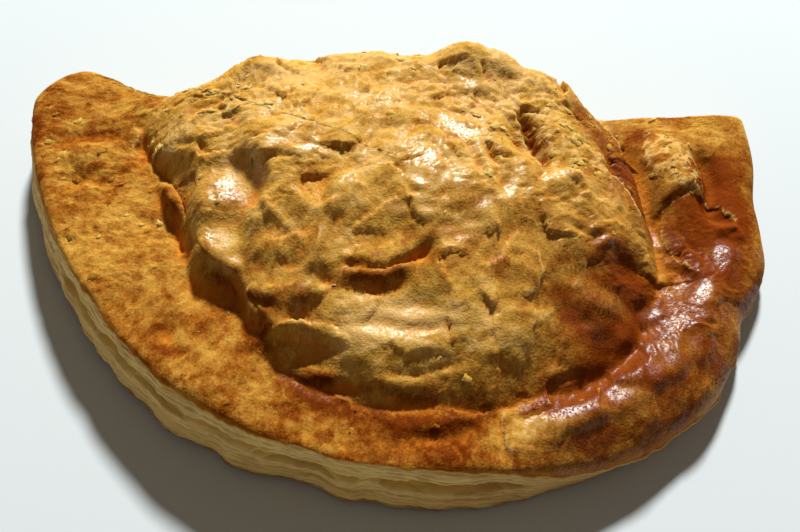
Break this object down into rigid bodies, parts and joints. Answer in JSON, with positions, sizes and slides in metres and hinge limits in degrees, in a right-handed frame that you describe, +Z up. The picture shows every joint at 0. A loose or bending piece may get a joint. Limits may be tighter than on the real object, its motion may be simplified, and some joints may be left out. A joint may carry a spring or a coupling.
{
  "type": "cornish pasty",
  "caption": "Half-moon puff pastry pasty with a glazed, browned and crumpled crust, a domed filling and open baked layers round its curved rim.",
  "frame": {"origin": "on the surface that the pasty lies on, under the middle of its length and depth", "axes": "+X along its length to the right-hand end, +Y towards the straight folded back, +Z up"},
  "size_m": [0.1854, 0.11, 0.0371],
  "materials": {
    "glazed_crust": "baked puff pastry, golden to dark brown, with an uneven egg glaze"
  },
  "bodies": {
    "root": {"pasty": "glazed_crust"}
  },
  "joints": []
}
